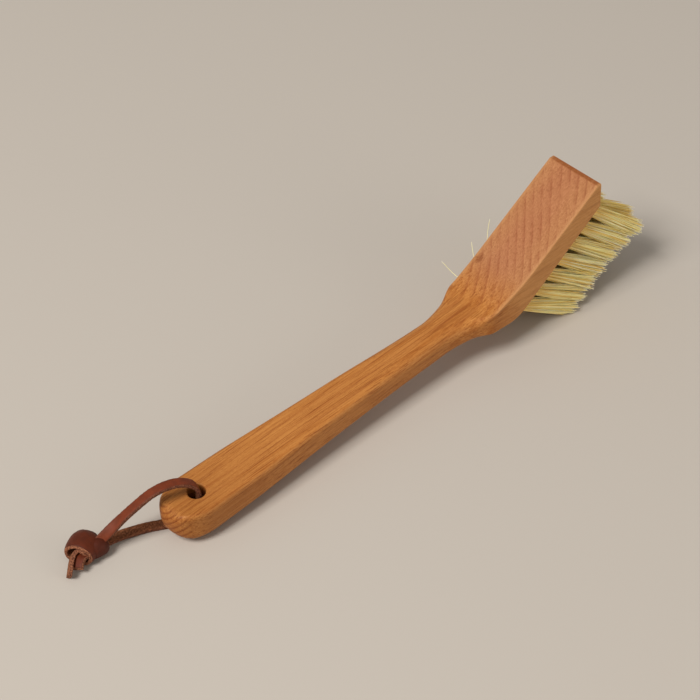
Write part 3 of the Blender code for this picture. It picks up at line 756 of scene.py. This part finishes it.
def leather_grain(leather):
    r = Recipe("leather_grain_side")
    p = r.millimetres()
    cloud = r.noise(p, 0.35, 3.0)
    tint = r.mix(r.span(cloud, 0.3, 0.7, 0.55, 1.0), leather.dark_colour, leather.colour)
    pull = r.noise(p, 1.3, 4.0, 0.7)
    tint = r.mix(r.span(pull, 0.5, 0.75, 0.0, 0.4), tint, leather.rubbed_colour)
    tint = r.mix(r.product(r.attribute("rim"), 0.6), tint, leather.dark_colour)
    # Darkens the tails and knot; on the knot's second wrap, which lies in the dome's shade, this is painted
    # shade.
    tint = r.shade(tint, r.attribute("handling_and_shade"), leather.knot_shade)
    pebble = r.add("TexVoronoi", {"Vector": p, "Scale": 3.2}, feature="DISTANCE_TO_EDGE")
    height = r.math("ADD", r.span(pebble, 0.0, 0.12), r.product(pull, 0.8))
    return r.finish(Base_Color=tint, Roughness=0.5, Normal=r.bump(height, 0.3, 0.05 * MM),
                    Specular_IOR_Level=0.2)


def leather_flesh(leather):
    r = Recipe("leather_flesh_side")
    p = r.millimetres()
    nap = r.noise(p, 2.6, 4.0, 0.75)
    tint = r.mix(r.span(nap, 0.36, 0.6), leather.flesh_dark_colour, leather.flesh_colour)
    coarse = r.math("ADD", r.noise(p, 1.5, 3.0, 0.65), r.product(r.attribute("handling_and_shade"), 0.12))
    tint = r.mix(r.span(coarse, 0.46, 0.7, 0.0, 0.85), tint, leather.flesh_light_colour)
    return r.finish(Base_Color=tint, Roughness=0.92, Normal=r.bump(nap, 0.8, 0.22 * MM),
                    Specular_IOR_Level=0.1)


def cut_leather(leather):
    r = Recipe("leather_cut_edge")
    nap = r.noise(r.millimetres(), 2.2, 3.0, 0.7)
    tint = r.mix(r.span(nap, 0.38, 0.62), leather.dark_colour, leather.edge_colour)
    # Painted shade on the cut edges: full on the loop, less on the tails and knot.
    tint = r.shade(tint, r.math("SUBTRACT", 1.0, r.attribute("handling_and_shade")), leather.loop_edge_painted_shade)
    return r.finish(Base_Color=tint, Roughness=0.85, Normal=r.bump(nap, 0.6, 0.15 * MM),
                    Specular_IOR_Level=0.25)


def drawn_wire():
    r = Recipe("drawn_staple_wire")
    scratch = r.noise(r.millimetres(), 4.0, 3.0)
    tint = r.mix(scratch, WIRE_DARK, WIRE_BRIGHT)
    return r.finish(Base_Color=tint, Metallic=1.0, Roughness=r.span(scratch, 0.3, 0.7, 0.28, 0.45))


# Strap

def smooth_route(points, steps):
    """Evenly spaced points along a smooth curve through a route in millimetres, in the row frame."""
    points = [STRAP_FOOT + Vector(p) * MM for p in points]
    dense = []
    for k in range(len(points) - 1):
        before = points[k - 1] if k else 2 * points[0] - points[1]
        after = points[k + 2] if k + 2 < len(points) else 2 * points[-1] - points[-2]
        for j in range(CURVE_STEPS):
            u = j / CURVE_STEPS
            dense.append(0.5 * (
                2 * points[k] + (points[k + 1] - before) * u
                + (2 * before - 5 * points[k] + 4 * points[k + 1] - after) * u ** 2
                + (3 * points[k] - before - 3 * points[k + 1] + after) * u ** 3))
    dense.append(points[-1])
    travelled = [0.0]
    for a, b in zip(dense, dense[1:]):
        travelled.append(travelled[-1] + (b - a).length)
    even = []
    k = 0
    for step in range(steps + 1):
        goal = travelled[-1] * step / steps
        while k < len(dense) - 2 and travelled[k + 1] < goal:
            k += 1
        part = (goal - travelled[k]) / (travelled[k + 1] - travelled[k])
        even.append(dense[k].lerp(dense[k + 1], min(part, 1)))
    return even


LACE_outline = (
    (1.0, -0.55), (1.0, 0.0), (1.0, 0.55), (0.93, 0.9), (0.8, 1.0), (0.5, 1.0), (0.2, 1.0), (-0.2, 1.0),
    (-0.5, 1.0), (-0.8, 1.0), (-0.93, 0.9), (-1.0, 0.55), (-1.0, 0.0), (-1.0, -0.55), (-0.93, -0.9),
    (-0.8, -1.0), (-0.5, -1.0), (-0.2, -1.0), (0.2, -1.0), (0.5, -1.0), (0.8, -1.0), (0.93, -0.9),
)


def lace_sections(line, last_way=None, stands=None, roll=0.0):
    """Flat leather sections along a line; up is the grain side, and the flesh side and edges are rough."""
    made = []
    across = None
    travelled = 0.0
    for k, point in enumerate(line):
        way = (line[min(k + 1, len(line) - 1)] - line[max(k - 1, 0)]).normalized()
        if k == len(line) - 1 and last_way:
            way = last_way
        if across is None:
            across = Vector(stands) if stands else way.cross(Vector((0, 0, 1)))
        across = (across - way * across.dot(way)).normalized()
        travelled += (point - line[max(k - 1, 0)]).length
        leant = Matrix.Rotation(roll * (1 - eased(travelled / ROLL_RUN)), 3, way) @ across
        up = leant.cross(way)
        ring = []
        for a, b in LACE_outline:
            spot = point + leant * a * LACE_WIDTH / 2 + up * b * LACE_THICKNESS / 2
            share = 1.0 if abs(a) > LACE_EDGE_share else FLESH_FRAY_share if b < 0 else GRAIN_FRAY_share
            ring.append(spot + noise.noise_vector(spot / MM * FRAY_PITCH) * (FRAY * share))
        made.append(ring)
    return made


def paint_lace(bm, handling_and_shade):
    """Grain on the upper side, flesh below, cut leather at the edges and ends; rims and each piece's
    handling-and-shade value are marked.
    """
    place = bm.verts.layers.int.get("place")
    rim = bm.verts.layers.float.new("rim")
    painted_light_and_marks = bm.verts.layers.float.new("handling_and_shade")
    count = len(LACE_outline)
    for vert in bm.verts:
        a, b = LACE_outline[vert[place] % count]
        vert[rim] = 1.0 if abs(a) > LACE_EDGE_share and b > 0 else 0.0
        vert[painted_light_and_marks] = handling_and_shade
    for face in bm.faces:
        marks = [LACE_outline[v[place] % count] for v in face.verts]
        if len(marks) > 4 or all(abs(a) > LACE_EDGE_share for a, _ in marks):
            face.material_index = 2
        elif sum(b for _, b in marks) < 0:
            face.material_index = 1
        face.smooth = True


def lace_piece(name, line, leathers, handling_and_shade, **settings):
    bm = bmesh.new()
    sweep(bm, lace_sections(line, **settings))
    paint_lace(bm, handling_and_shade)
    lift_from_floor(bm)
    return finished(name, bm, leathers, "strap", LACE_SMOOTH)


# Properties a user would change

def number_property(name, description, default, **more):
    return FloatProperty(name=name, description=description, default=default, **more)


def colour_property(name, description, default, highest=1):
    return FloatVectorProperty(name=name, description=description, default=default, subtype="COLOR", min=0,
                               max=highest)


class WoodSettings(bpy.types.PropertyGroup):
    """Colours and figure of the oiled wood."""
    early_colour: colour_property("Early wood", "Colour between the growth rings", (0.55, 0.215, 0.048))
    late_shade: colour_property(
        "Late wood", "How the dark side of a growth ring dims the wood", (0.76, 0.62, 0.58))
    # Darkens the wood towards the butt's end.
    butt_shade: colour_property("Butt", "How handling dims the butt", (0.84, 0.82, 0.8))
    streak_shade: colour_property(
        "Streaks", "How the broad streaks along the grain dim the wood", (0.84, 0.74, 0.62))
    heart_shade: colour_property(
        "Heart", "How the redder middle of the head's back differs from its margins", (0.97, 0.91, 0.96))
    line_shade: colour_property(
        "Lines", "How the thin dark lines and flecks dim the wood", (0.62, 0.48, 0.4))
    pale_shade: colour_property(
        "Pale lines", "How the thin pale lines and flecks brighten the wood", (1.16, 1.24, 1.4), highest=2)
    head_colour: colour_property(
        "Head", "Paler tone of the slanted cut on the head's back", (0.50, 0.215, 0.082))
    # Painted shade darkening both sides of the handle.
    handle_side_painted_shade: colour_property(
        "Handle's sides", "How hands have dimmed the handle's sides", (0.86, 0.87, 0.92))
    side_colour: colour_property("Head's sides", "Golden tone of the head's sides", (0.56, 0.255, 0.078))
    # End grain colour: oil-soaked wood, made darker as painted shade.
    end_colour: colour_property("End grain", "Colour of oil-soaked end grain", (0.33, 0.1, 0.025))
    # Painted highlight: lighter colour along the head's upper long edges.
    edge_colour: colour_property("Worn edges", "Colour of the head's rubbed edges", (0.6, 0.3, 0.12))
    ring_width: number_property(
        "Ring width", "Space between two growth rings, in millimetres", 2.75, min=0.5)
    arc_width: number_property(
        "Arc width", "Space between two dark arcs on the butt's end, in millimetres", 2.3, min=0.5)
    pith_side: number_property(
        "Pith to the side", "Place of the tree's middle to the left, in millimetres", 205.0)
    pith_height: number_property(
        "Pith height", "Height of the tree's middle over the handle, in millimetres", -268.0)
    roughness: number_property("Roughness", "How dull the oiled surface is", 0.46, min=0, max=1)


class BristleSettings(bpy.types.PropertyGroup):
    """Count, size and colours of the bristles."""
    strands: IntProperty(
        name="Strands", description="Strands in each bundle", default=170, min=20, max=200)
    thickness: number_property("Thickness", "Diameter of a strand", 0.36 * MM, unit="LENGTH")
    length: number_property("Length", "Mouth of the hole to the tips", 39.6 * MM, unit="LENGTH")
    fan_along: number_property("Fan along", "Tip spacing over root spacing, along the head", 2.05, min=1)
    fan_across: number_property("Fan across", "Tip spacing over root spacing, across the head", 2.0, min=1)
    stray: number_property("Stray", "How far tips wander", 0.55 * MM, unit="LENGTH")
    bow: number_property("Bow", "How far strands bow", 0.35 * MM, unit="LENGTH")
    raggedness: number_property("Raggedness", "How unevenly the tips are cut", 0.75 * MM, unit="LENGTH")
    colour: colour_property("Fibre", "Colour of most strands", (1.0, 0.9, 0.43))
    gold_colour: colour_property("Golden fibre", "Colour of the golden strands", (0.93, 0.71, 0.22))
    bright_colour: colour_property("Pale fibre", "Colour of the palest strands", (1.0, 0.96, 0.7))
    shade_colour: colour_property("Dark fibre", "Colour of the darkest strands", (0.78, 0.49, 0.12))
    # Painted shade: warm dark colour near the roots.
    root_painted_shade_colour: colour_property("Root", "Colour of the strands near their hole", (0.9, 0.56, 0.13))
    tip_colour: colour_property("Tips", "Colour of the cut tips", (0.97, 0.93, 0.75))


class LeatherSettings(bpy.types.PropertyGroup):
    """Colours of the leather strap."""
    colour: colour_property("Grain side", "Colour of the smooth side", (0.19, 0.036, 0.011))
    dark_colour: colour_property(
        "Dark grain", "Colour of the smooth side's dark clouds and rims", (0.085, 0.02, 0.008))
    rubbed_colour: colour_property(
        "Rubbed grain", "Colour where the smooth side is stretched", (0.25, 0.058, 0.02))
    flesh_colour: colour_property("Flesh side", "Colour of the rough side", (0.215, 0.075, 0.032))
    flesh_dark_colour: colour_property(
        "Dark flesh side", "Colour of the rough side's pits", (0.06, 0.021, 0.009))
    flesh_light_colour: colour_property(
        "Pale flesh side", "Colour of the rough side's nap", (0.4, 0.16, 0.078))
    edge_colour: colour_property("Cut edge", "Colour of the cut edges", (0.5, 0.2, 0.1))
    # Painted shade on the cut edges, full on the loop's.
    loop_edge_painted_shade: colour_property(
        "Loop's edge", "How dirt dims the cut edges of the loop", (0.5, 0.45, 0.45))
    # Darkens the knot and tails; on the knot's second wrap this is painted shade.
    knot_shade: colour_property("Knot", "How handling dims the knot", (0.46, 0.4, 0.4))


class StageSettings(bpy.types.PropertyGroup):
    """Light and floor."""
    floor_colour: colour_property("Floor", "Colour of the plain floor", (0.575, 0.52, 0.457))
    key_power: number_property("Key light", "Power of the large light over the butt", 49.0, unit="POWER")
    key_size: number_property("Key size", "Side of the large light", 0.85, unit="LENGTH")
    fill_power: number_property(
        "Fill light", "Power of the low light on the brush's right", 13.0, unit="POWER")
    fill_size: number_property("Fill size", "Side of the low light", 1.6, unit="LENGTH")
    ambient: number_property("Ambient", "Strength of the even light from all round", 0.32, min=0)


# Operators

class BRUSH_OT_stage(bpy.types.Operator):
    """Make the camera, the plain floor and the soft light"""
    bl_idname = "brush.stage"
    bl_label = "Stage"

    def execute(self, context):
        stage = context.scene.brush_stage
        lens = bpy.data.cameras.new("camera")
        lens.lens = LENS
        lens.sensor_width = SENSOR
        lens.clip_start = CLIP_START
        camera = linked("camera", lens)
        camera.location = CAMERA_PLACE
        aim = Vector(CAMERA_TARGET) - Vector(CAMERA_PLACE)
        camera.rotation_euler = aim.to_track_quat("-Z", "Y").to_euler()
        context.scene.camera = camera

        bm = bmesh.new()
        bmesh.ops.create_grid(bm, x_segments=2, y_segments=2, size=FLOOR_SIZE)
        mesh = mesh_from("floor", bm)
        r = Recipe("plain_floor")
        mesh.materials.append(r.finish(Base_Color=stage.floor_colour, Roughness=0.95,
                                       Specular_IOR_Level=0.1))
        linked("floor", mesh)

        lamps = (
            ("key", stage.key_power, stage.key_size, KEY_WAY, KEY_TINT),
            ("fill", stage.fill_power, stage.fill_size, FILL_WAY, FILL_TINT),
        )
        for name, power, size, way, tint in lamps:
            lamp = bpy.data.lights.new(name, "AREA")
            lamp.shape = "SQUARE"
            lamp.size = size
            lamp.energy = power
            lamp.color = tint
            hung = linked(name, lamp)
            way = Vector(way).normalized()
            hung.location = way * LAMP_DISTANCE
            hung.rotation_euler = way.to_track_quat("Z", "Y").to_euler()

        world = bpy.data.worlds.new("even_light")
        world.use_nodes = True
        ground = world.node_tree.nodes["Background"]
        ground.inputs["Color"].default_value = rgb(AMBIENT_TINT)
        ground.inputs["Strength"].default_value = stage.ambient
        context.scene.world = world
        context.scene.view_settings.view_transform = "Standard"
        return {"FINISHED"}


class BRUSH_OT_strap(bpy.types.Operator):
    """Lace the leather strap through the hanging hole, and knot it"""
    bl_idname = "brush.strap"
    bl_label = "Leather strap"

    def execute(self, context):
        noise.seed_set(ROUGHNESS_SEED)
        leather = context.scene.brush_leather
        leathers = [leather_grain(leather), leather_flesh(leather), cut_leather(leather)]
        line = smooth_route(LACE_ROUTE, LOOP_STATIONS)
        roots = [STRAP_FOOT + Vector(root) * MM for root in LEG_ROOTS]
        # The loop's value of 0.0 gives its cut edges the full painted shade.
        loop = lace_piece("strap_lace", [roots[0], *line, roots[1]], leathers, 0.0, roll=LEG_ROLL)
        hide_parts("strap_loop")

        knot = build_knot(leathers)
        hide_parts("strap_knot")
        for name, route, stands, cut_way in (
                ("long_tail", LONG_TAIL_ROUTE, LONG_TAIL_STANDS, None),
                ("short_tail", SHORT_TAIL_ROUTE, SHORT_TAIL_STANDS, Vector(SHORT_TAIL_CUT).normalized())):
            tail = lace_piece(name, smooth_route(route, TAIL_STATIONS), leathers, 0.5, stands=stands,
                              last_way=cut_way)
        return {"FINISHED"}


def wrap_sections(wrap):
    """Flat leather sections wound round a level axis: inside first, then a whole turn at full size."""
    heading = Vector((math.cos(wrap["heading"]), math.sin(wrap["heading"]), 0))
    side = Vector((-heading.y, heading.x, 0))
    front = STRAP_FOOT + Vector(wrap["front"]) * MM
    whole = wrap["inner_turn"] + WRAP_TURN
    made = []
    for step in range(WRAP_STATIONS + 1):
        gone = whole * step / WRAP_STATIONS
        angle = wrap["start"] - gone
        grown = eased((gone - wrap["inner_turn"] * 0.75) / WRAP_GROWTH) if wrap["inner_turn"] else 1
        inside = LACE_THICKNESS / 2 + WRAP_STEP * (1 - grown)
        beside = side * math.cos(angle)
        above = Vector((0, 0, math.sin(angle)))
        reach = beside * (wrap["wide"] - inside) + above * (wrap["high"] - inside)
        out = (beside / wrap["wide"] + above / wrap["high"]).normalized()
        ring = []
        for a, b in LACE_outline:
            back = (1 - a) * wrap["width"] / 2
            curl = (wrap["front_curl"] if a > 0 else wrap["back_curl"]) * abs(a) ** WRAP_CURL_POWER
            spot = front - heading * back + reach + out * (b * LACE_THICKNESS / 2 - curl)
            spot += noise.noise_vector(spot / MM * WRAP_UNEVEN_PITCH) * WRAP_UNEVEN
            fray = FRAY if abs(a) > LACE_EDGE_share else FRAY / 4
            ring.append(spot + noise.noise_vector(spot / MM * WRAP_FRAY_PITCH) * fray)
        made.append(ring)
    return made


def build_knot(leathers):
    """The lace wound round its own legs, drawn tight, with both ends coming out of the front."""
    bm = bmesh.new()
    sweep(bm, wrap_sections(WRAPS[0]))
    first = len(bm.verts)
    sweep(bm, wrap_sections(WRAPS[1]))
    paint_lace(bm, 0.7)
    # The second wrap lies in the dome's shade; its full value here is painted shade.
    painted_light_and_marks = bm.verts.layers.float["handling_and_shade"]
    bm.verts.ensure_lookup_table()
    for vert in bm.verts[first:]:
        vert[painted_light_and_marks] = 1.0
    lift_from_floor(bm)
    return finished("strap_wraps", bm, leathers, "strap", LACE_SMOOTH)


class BRUSH_OT_body(bpy.types.Operator):
    """Carve the wooden handle and head, and drill the holes"""
    bl_idname = "brush.body"
    bl_label = "Wooden body"

    def execute(self, context):
        wood = oiled_wood(context.scene.brush_wood)
        bm = bmesh.new()
        sweep(bm, body_sections())
        place = bm.verts.layers.int["place"]
        # Painted highlight along the head's two upper long edges, fading in past the shoulders.
        edge_highlight = bm.verts.layers.float.new("edge_highlight")
        upper = set(range(CORNER_STEPS + 1))
        first_right = CORNER_STEPS + 1 + len(BROAD_shares)
        upper |= set(range(first_right, first_right + CORNER_STEPS + 1))
        for vert in bm.verts:
            crisp = min(max((vert.co.x - SHOULDER_X + RAMP_RUN / 4) / (RAMP_RUN / 2), 0), 1)
            vert[edge_highlight] = crisp if vert[place] in upper else 0.0
        bmesh.ops.transform(bm, matrix=HANDLE_FRAME, verts=bm.verts)
        body = finished("carved_body", bm, [wood], "brush")
        bm = bmesh.new()
        spin_profile(bm, hanging_hole_profile(), HANDLE_FRAME, BORE_SIDES)
        bore = TUFT_BORE / 2
        profile = ((0, -TUFT_BORE_DEPTH), (bore, -TUFT_BORE_DEPTH), (bore, OVERRUN), (0, OVERRUN))
        for row in range(ROWS):
            for column in range(COLUMNS):
                spin_profile(bm, profile, HANDLE_FRAME @ tuft_frame(row, column), TUFT_SIDES)
        cut(body, bm)
        body.data.shade_smooth()
        body.data.set_sharp_from_angle(angle=BODY_SMOOTH)
        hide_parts("wooden_body")
        return {"FINISHED"}


class BRUSH_OT_bristles(bpy.types.Operator):
    """Fill the head with bundles of plant fibre"""
    bl_idname = "brush.bristles"
    bl_label = "Bristles"

    def execute(self, context):
        bristles = context.scene.brush_bristles
        surface = plant_fibre(bristles)
        for row in range(ROWS):
            for column in range(COLUMNS):
                tuft = build_tuft(row, column, bristles, surface)
                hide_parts(f"tuft_r{row + 1}_c{column + 1}")
        return {"FINISHED"}


def lay_strands(row, column, bristles):
    """Root, tip, bow, tone and turn of each strand of a tuft, in the tuft's own frame."""
    seed = random.Random(100 * row + column + 7)
    hole = (TUFT_BORE - bristles.thickness) / 2
    clumps = []
    for k in range(CLUMPS):
        angle = k * GOLDEN_ANGLE + seed.random()
        reach = hole * math.sqrt((k + 0.5) / CLUMPS)
        clumps.append(Vector((math.cos(angle), math.sin(angle), 0)) * reach)
    strands = []
    for k in range(bristles.strands):
        angle = k * GOLDEN_ANGLE + seed.uniform(-0.2, 0.2)
        root = Vector((math.cos(angle), math.sin(angle), 0)) * hole * math.sqrt((k + 0.5) / bristles.strands)
        home = min(clumps, key=lambda spot: (spot - root).length)
        tip = root.lerp(home, CLUMP_share)
        fan_along = bristles.fan_along * (ROW_fans[row] if column else 1)
        tip = Vector((tip.x * fan_along, tip.y * bristles.fan_across, 0))
        tip += Vector((seed.gauss(0, 1), seed.gauss(0, 1), 0)) * bristles.stray
        bow = Vector((seed.gauss(0, 1), seed.gauss(0, 1), 0)) * bristles.bow
        tip.z = bristles.length - abs(seed.gauss(0, 1)) * bristles.raggedness
        root.z = -ROOT_DEPTH
        tip += Vector(COMBED.get((row, column), (0, 0, 0))) * MM
        # Inner rows' tones are scaled down as painted shade.
        strands.append((root, tip, bow, seed.random() * ROW_painted_shade_tones[row], angle))
    inward = tuft_frame(row, column).inverted()
    for tip, bow in LOOSE.get((row, column), ()):
        root = Vector((0, hole / 2, -ROOT_DEPTH))
        tip = inward @ (Vector(tip) * MM)
        bow = inward.to_3x3() @ (Vector(bow) * MM)
        strands.append((root, tip, bow, LOOSE_TONE, 0.0))
    return strands


def build_tuft(row, column, bristles, surface):
    """A bundle of thin strands, close together in the hole, clumped and fanned out towards the tips."""
    bm = bmesh.new()
    number = bm.verts.layers.int.new("strand")
    tone = bm.verts.layers.float.new("tone")
    along = bm.verts.layers.float.new("along")
    strands = lay_strands(row, column, bristles)
    for k, (root, tip, bow, shade, angle) in enumerate(strands):
        turn = Matrix.Translation(root) @ Matrix.Rotation(angle, 4, "Z")
        ring = bmesh.ops.create_circle(bm, cap_ends=True, segments=STRAND_SIDES,
                                       radius=bristles.thickness / 2, matrix=turn)["verts"]
        for vert in ring:
            vert[number] = k
            vert[tone] = shade
    edges = list(bm.edges)
    before = [strand[0] for strand in strands]
    for step, (t, width) in enumerate(STRAND_profile):
        ring, edges = next_ring(bm, edges)
        last_width = STRAND_profile[step - 1][1] if step else 1
        now = [root.lerp(tip, t) + bow * math.sin(math.pi * t) for root, tip, bow, _, _ in strands]
        for vert in ring:
            k = vert[number]
            vert.co = now[k] + (vert.co - before[k]) * width / last_width
            vert[along] = t
        before = now
    bmesh.ops.edgeloop_fill(bm, edges=edges)
    bmesh.ops.transform(bm, matrix=HANDLE_FRAME @ tuft_frame(row, column), verts=bm.verts)
    lift_from_floor(bm)
    return finished(f"bristles_r{row + 1}_c{column + 1}", bm, [surface], "brush", STRAND_SMOOTH)


class BRUSH_OT_staples(bpy.types.Operator):
    """Give the staples their drawn-wire finish"""
    bl_idname = "brush.staples"
    bl_label = "Wire staples"

    def execute(self, context):
        wire = drawn_wire()
        for name, node in frame["nodes"].items():
            if name.startswith("staple"):
                node.data.materials.clear()
                node.data.materials.append(wire)
        return {"FINISHED"}


class BRUSH_PT_panel(bpy.types.Panel):
    """Lists the steps and their settings"""
    bl_idname = "BRUSH_PT_panel"
    bl_label = "Dish brush"
    bl_space_type = "VIEW_3D"
    bl_region_type = "UI"
    bl_category = "Brush"

    def draw(self, context):
        scene = context.scene
        for kind in OPERATORS:
            self.layout.operator(kind.bl_idname)
        for settings in (scene.brush_wood, scene.brush_bristles, scene.brush_leather, scene.brush_stage):
            box = self.layout.box()
            for key in settings.__annotations__:
                box.prop(settings, key)


OPERATORS = (BRUSH_OT_stage, BRUSH_OT_strap, BRUSH_OT_body, BRUSH_OT_bristles, BRUSH_OT_staples)
SETTINGS = {"brush_wood": WoodSettings, "brush_bristles": BristleSettings,
            "brush_leather": LeatherSettings, "brush_stage": StageSettings}
CLASSES = (*SETTINGS.values(), *OPERATORS, BRUSH_PT_panel)


def register():
    for kind in CLASSES:
        bpy.utils.register_class(kind)
    for name, kind in SETTINGS.items():
        setattr(bpy.types.Scene, name, PointerProperty(type=kind))


def unregister():
    for name in SETTINGS:
        delattr(bpy.types.Scene, name)
    for kind in reversed(CLASSES):
        bpy.utils.unregister_class(kind)


def main():
    register()
    bpy.ops.brush.stage()
    bpy.ops.brush.strap()
    bpy.ops.brush.body()
    bpy.ops.brush.bristles()
    bpy.ops.brush.staples()


if __name__ == "__main__":
    main()
